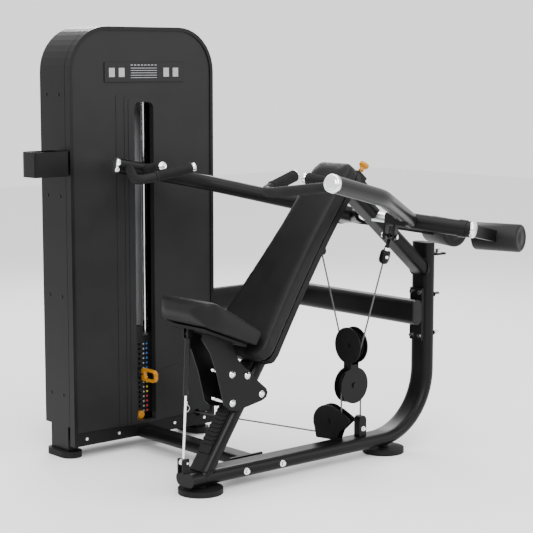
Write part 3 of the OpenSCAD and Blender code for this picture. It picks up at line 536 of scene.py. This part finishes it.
def both_arms(name, mesh, look, body="arm", nodes=()):
    """Adds mesh to the left arm and its mirror image to the right arm."""
    pieces = [add_piece("left_" + name, mesh, look, "left_" + body)]
    other = mesh.copy()
    other.transform(Matrix.Translation((0, -2 * ACROSS, 0)) @ MIRROR)
    other.flip_normals()
    pieces.append(add_piece("right_" + name, other, look, "right_" + body))
    for piece, side in zip(pieces, ("left_", "right_")):
        if nodes:
            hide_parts(*[side + n for n in nodes])


def grip(name, inner, outer, length, ribs):
    """A ribbed rubber sleeve that ends a little before the tube's end."""
    ahead = (outer - inner).normalized()
    start = outer - ahead * length
    radius = 0.0188
    profile = [(0, 0.0172), (0.0008, 0.0205), (0.004, 0.0212), (0.007, radius), (length - 0.006, radius),
               (length - 0.003, 0.0205), (length - 0.0005, 0.0198), (length, 0.0172)]
    sleeve = turned(profile, start, ahead, 36)
    both_arms(name + "_sleeve", mesh_from(name + "_sleeve", sleeve), LOOKS["rubber"])
    rings = grown(name + "_ribs", RIBS, [(0, 0, 0)], Count=ribs, Length=length - 0.022, Radius=radius,
                  Rib=0.0011, Material=LOOKS["rubber"])
    turn = ahead.to_track_quat("Z", "Y").to_matrix().to_4x4()
    rings.transform(Matrix.Translation(start + ahead * 0.012) @ turn)
    both_arms(name + "_ribs", rings, None)


grip("long_grip", at(-21, -341, 1074), at(185, -281, 1120), 0.140, 26)
grip("short_grip", at(177, -558, 1095), at(140, -400, 1120), 0.118, 22)
print("grips done")

# %% Rounded chrome caps
ARM_FRONT, ARM_BEND, ARM_JOINT = at(79, -588, 1116), at(399, -490, 1047), at(888, -150, 912)
LEVER_END = at(728, -199, 872)
HUB = Vector((0.45, -0.8871, -0.1029)).normalized()


def dome(start, along, radius, length, edge):
    """A turned cap with a short straight side and a crowned end."""
    curve = [(length - edge + edge * math.sin(a), radius - edge + edge * math.cos(a))
             for a in [math.radians(10 * k) for k in range(1, 10)]]
    flat = radius - edge
    crown = [(length - 0.0008, flat * 0.96), (length - 0.0008, flat * 0.90), (length, flat * 0.86),
             (length + 0.0012, flat * 0.5), (length + 0.0016, flat * 0.2), (length + 0.0017, flat * 0.02)]
    return turned([(0.0001, radius), (length - edge, radius)] + curve + crown, start, along, 48)


caps = bmesh.new()
for start, along, radius, length in (
        (ARM_FRONT, ARM_FRONT - ARM_BEND, 0.031, 0.0165),
        (ARM_JOINT + HUB * 0.232, HUB, 0.030, 0.0165),
        (at(185, -281, 1120), at(185, -281, 1120) - at(-21, -341, 1074), 0.0162, 0.0165),
        (at(140, -400, 1120), at(140, -400, 1120) - at(177, -558, 1095), 0.0162, 0.0165)):
    part = mesh_from("cap", dome(start, along, radius, length, radius * 0.28))
    caps.from_mesh(part)
for side in (-1, 1):
    part = mesh_from("pin_head", turned([(0, 0.006), (0.0268, 0.006), (0.027, 0.0095), (0.0305, 0.0095),
                                         (0.032, 0.008), (0.0325, 0.0001)], LEVER_END, HUB * side, 32))
    caps.from_mesh(part)
both_arms("chrome_caps", mesh_from("chrome_caps", caps), LOOKS["chrome"], nodes=("end_caps",))

WEIGHT_DIR = Vector((0.3, -0.954, 0)).normalized()
weight_half = 0.0975  # half the counterweight's length
weight_rim = [(weight_half, 0.0002), (weight_half, 0.020), (weight_half - 0.002, 0.022),
              (weight_half - 0.002, 0.040), (weight_half, 0.042), (weight_half, 0.047),
              (weight_half - 0.003, 0.0525), (weight_half - 0.008, 0.055), (0.004, 0.055)]
weight = turned([(-d, r) for d, r in weight_rim] + weight_rim[::-1], at(1387, -146, 815), WEIGHT_DIR, 64)
both_arms("counterweight_turned", mesh_from("counterweight_turned", weight), LOOKS["iron_black"],
          nodes=("counterweight",))
head = [(0.0650, 0.0002), (0.0647, 0.003), (0.0638, 0.0055), (0.0625, 0.0075), (0.0605, 0.0086),
        (0.0592, 0.0087), (0.0591, 0.0126), (0.0578, 0.0130), (0.0572, 0.0130), (0.0571, 0.0068)]
axles = bmesh.new()
for x, z in ((98, 418), (168, 405), (234, 330), (99, 315)):
    axles.from_mesh(mesh_from("axle", turned([(-d, r) for d, r in head] + head[::-1], at(x, 0, z),
                                             Vector((0, 1, 0)), 36)))
rollers = add_piece("carriage_axles", mesh_from("carriage_axles", axles), LOOKS["chrome"], "seat")
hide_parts("carriage_rollers")

YOKE_TILT = math.radians(18.7)
YOKE_DIR = Vector((0, math.sin(YOKE_TILT), -math.cos(YOKE_TILT)))
EYE_RADIUS = 0.0108
across = HUB.cross(YOKE_DIR).normalized()
eye = [LEVER_END + EYE_RADIUS * (math.cos(a) * across + math.sin(a) * YOKE_DIR)
       for a in [2 * math.pi * k / 40 for k in range(40)]]
yoke = swept(eye, 0.0036, 12, True)
yoke.from_mesh(mesh_from("stem", turned([(0.0135, 0.0002), (0.0136, 0.0062), (0.040, 0.0062), (0.040, 0.009),
    (0.046, 0.009), (0.056, 0.0075), (0.0575, 0.012), (0.062, 0.0165), (0.068, 0.0188), (0.074, 0.0192),
    (0.094, 0.0192), (0.101, 0.0180), (0.107, 0.0145), (0.1108, 0.008), (0.1117, 0.0002)],
    LEVER_END, YOKE_DIR, 40)))
both_arms("yoke_socket", mesh_from("yoke_socket", yoke), LOOKS[SLOT_OF["left_cable_yoke"]],
          body="yoke", nodes=("cable_yoke",))
ball = [(0.0535 - 0.0115 * math.cos(math.radians(a)), max(0.0002, 0.0115 * math.sin(math.radians(a))))
        for a in range(0, 181, 12)]
yoke_nuts = turned(ball, LEVER_END, YOKE_DIR, 32)
yoke_nuts.from_mesh(mesh_from("bolt", turned([(-0.0225, 0.0002), (-0.022, 0.004), (-0.0205, 0.0062),
    (-0.0150, 0.0062), (-0.0149, 0.0002)], LEVER_END + 0.084 * YOKE_DIR, -Vector((-0.35, -0.93, 0)), 24)))
both_arms("yoke_nuts", mesh_from("yoke_nuts", yoke_nuts), LOOKS["chrome"], body="yoke")
print("caps done")

# %% Studs on the tower, the posts and the brackets
def studs(name, points, axis, radius, height, sides, look, body):
    turn = Vector(axis).to_track_quat("Z", "Y").to_euler()
    mesh = grown(name, STUDS, points, Radius=radius, Height=height, Sides=sides, Rotation=turn, Material=look)
    return add_piece(name, mesh, None, body, smooth=False)


TOWER_LEFT, TOWER_RIGHT, TOWER_FRONT = -84, 594, 660
side_rows = (240, 620, 1000, 1380)
for label, x in (("left", TOWER_LEFT - 0.6), ("right", TOWER_RIGHT + 0.6)):
    studs("shell_screws_" + label, [at(x, y, z) for y in (735, 818) for z in side_rows], (1, 0, 0),
          0.006, 0.003, 20, LOOKS["black_plastic"], "frame")
studs("skirt_screws", [at(x, TOWER_FRONT - 1, 76) for x in (-30, 120, 390, 540)], (0, 1, 0),
      0.0065, 0.004, 6, LOOKS["chrome"], "frame")
studs("post_nuts", [at(1146, y, z) for z in (448, 600) for y in (-40, 40)], (1, 0, 0),
      0.010, 0.022, 6, LOOKS["chrome"], "frame")
studs("flange_bolts", [at(1073, -y, z) for z in (438, 610) for y in (-22, 22)], (1, 0, 0),
      0.009, 0.008, 6, LOOKS["chrome"], "frame")
STACK_LOW, PLATE_PITCH, LABEL_Y = 125, 19.1, 706.0
plate_z = [STACK_LOW + PLATE_PITCH * (i + 0.5) - 0.2 for i in range(15)]
held_plates = (("frame", range(0, 8)), ("weight_stack", range(8, 15)))
bands = {"red": range(0, 4), "yellow": range(4, 8), "blue": range(8, 15)}
for colour, plates in bands.items():
    for body, held in held_plates:
        points = [at(290, LABEL_Y, plate_z[i]) for i in plates if i in held]
        if points:
            studs(f"label_{colour}_{body}", points, (0, 1, 0), 0.0050, 0.0016, 4, LABELS[colour], body)
for body, held in held_plates:
    points = [at(x, LABEL_Y, plate_z[i]) for i in held for x in (228, 274)]
    studs(f"marks_{body}", points, (0, 1, 0), 0.0042, 0.0016, 4, print_grey, body)
print("studs done")


# %% [markdown]
# ## Placard and backing
# The placard is a plain plate with a few generic bars. A pale sheet stands behind the slot.


# %% Flat sheets
def slab(low, high, bevel=0.0):
    """A box between two design points, with rounded edges."""
    bm = bmesh.new()
    a, b = at(*low), at(*high)
    bmesh.ops.create_cube(bm, size=1.0)
    for v in bm.verts:
        v.co = Vector([(a[i] + b[i]) / 2 + v.co[i] * (b[i] - a[i]) for i in range(3)])
    if bevel:
        bmesh.ops.bevel(bm, geom=list(bm.edges), offset=bevel, segments=3, affect="EDGES", profile=0.5)
    return bm


def gather(name, boxes, bevel):
    total = bmesh.new()
    for low, high in boxes:
        total.from_mesh(mesh_from("box", slab(low, high, bevel)))
    return mesh_from(name, total)


add_piece("placard", gather("placard", [((75, 660.6, 1424), (449, 665.6, 1500))], 0.0018),
          LOOKS["black_plastic"], "frame", smooth=False)
bars = [((195 + 16 * i, 659.8, 1490 - 3), (205 + 16 * i, 661, 1490)) for i in range(8)]
bars += [((x, 659.8, 1444), (x + 26, 661, 1478)) for x in (95, 140, 350, 395)]
bars += [((195, 659.8, 1440 + 9 * k), (318, 661, 1442 + 9 * k)) for k in range(5)]
add_piece("placard_marks", gather("placard_marks", bars, 0.0002), print_grey, "frame",
          smooth=False)
add_piece("slot_backing", gather("slot_backing", [((140, 846, 130), (370, 850, 1440))], 0.0008),
          backing_grey, "frame", smooth=False)
print("sheets done")


# %% [markdown]
# ## Weld beads and a plug
# A bead of weld closes the seat post's foot and the boom's root. A plug closes the link bar's front end.


# %% Beads
def bead(name, points, radius, body):
    mesh = mesh_from(name, swept([at(*p) for p in points], radius, 8, True))
    return add_piece(name, mesh, LOOKS["powder_black"], body)


def oval_loop(centre, u, v, width, thick, steps=40):
    loop = []
    for k in range(steps):
        a = 2 * math.pi * k / steps
        flat = (width - thick) / 2
        x = thick / 2 * math.cos(a) + (flat if math.cos(a) > 0 else -flat)
        loop.append(Vector(centre) + Vector(u) * x + Vector(v) * thick / 2 * math.sin(a))
    return loop


POST_ANGLE, BOOM_ANGLE = math.radians(56), math.radians(40)
POST_UP = Vector((math.cos(POST_ANGLE), 0, math.sin(POST_ANGLE)))
POST_OUT = Vector((-math.sin(POST_ANGLE), 0, math.cos(POST_ANGLE)))
seat_foot = [p + POST_UP * ((85 - p.z) / POST_UP.z)
             for p in oval_loop((7, 0, 83), (0, 1, 0), POST_OUT, 102, 52)]
bead("weld_seat_post", seat_foot, 0.0028, "frame")
BOOM_UP = Vector((-math.cos(BOOM_ANGLE), 0, math.sin(BOOM_ANGLE)))
BOOM_OUT = Vector((math.sin(BOOM_ANGLE), 0, math.cos(BOOM_ANGLE)))
boom_root = [p + BOOM_UP * ((p.x - 1089) / -BOOM_UP.x)
             for p in oval_loop((1115, 0, 688), (0, 1, 0), BOOM_OUT, 102, 52)]
bead("weld_boom", boom_root, 0.0028, "frame")


def oval_plug(name, levels, centre_x, centre_z):
    """A plug for an upright oval tube end that faces forward: (y, width, thickness) levels."""
    bm = bmesh.new()
    rings = []
    for y, width, thick in levels:
        loop = oval_loop((centre_x, y, centre_z), (0, 0, 1), (1, 0, 0), width, thick)
        rings.append([bm.verts.new(at(*p)) for p in loop])
    add_piece(name, mesh_from(name, skin(bm, rings)), LOOKS["black_plastic"], "frame")


LINK_X, LINK_Z = 1050, 535
oval_plug("link_plug", [(-30.2, 100, 50), (-33.5, 100, 50), (-35, 97, 47), (-35.6, 90, 40)], LINK_X, LINK_Z)
print("beads done")

# %% [markdown]
# ## Floor and light
# A pale floor carries the machine. One large lamp lights it from the front left, and three weaker lamps
# open the shadows and draw the edges of the black tubes.

# %% Stage
floor_mesh = bpy.data.meshes.new("floor")
floor_mesh.from_pydata([(-12, -12, 0), (12, -12, 0), (12, 12, 0), (-12, 12, 0)], [], [(0, 1, 2, 3)])
floor = bpy.data.objects.new("floor", floor_mesh)
bpy.context.scene.collection.objects.link(floor)
floor_paint = Paint("floor", (0.88, 0.88, 0.88), 0.6, shine=0.1)
floor_mesh.materials.append(floor_paint.material)


def lamp(name, place, aim, power, size):
    data = bpy.data.lights.new(name, "AREA")
    data.energy, data.size = power, size
    lamp_object = bpy.data.objects.new(name, data)
    bpy.context.scene.collection.objects.link(lamp_object)
    lamp_object.location = place
    lamp_object.rotation_mode = "QUATERNION"
    lamp_object.rotation_quaternion = (Vector(aim) - Vector(place)).to_track_quat("-Z", "Y")


lamp("key", (-3.2, -3.4, 3.6), (0, 0, 0.8), 230, 2.6)
lamp("fill", (2.8, -4.2, 2.2), (0, 0, 0.7), 80, 3.0)
lamp("rim", (2.2, 3.6, 3.4), (0, 0, 0.9), 150, 2.4)
lamp("top", (-0.4, -0.6, 4.2), (0, 0, 0.4), 110, 3.0)
world = bpy.data.worlds.new("studio")
world.use_nodes = True
world.node_tree.nodes["Background"].inputs["Color"].default_value = (1.0, 1.0, 1.0, 1)
world.node_tree.nodes["Background"].inputs["Strength"].default_value = 1.5
bpy.context.scene.world = world
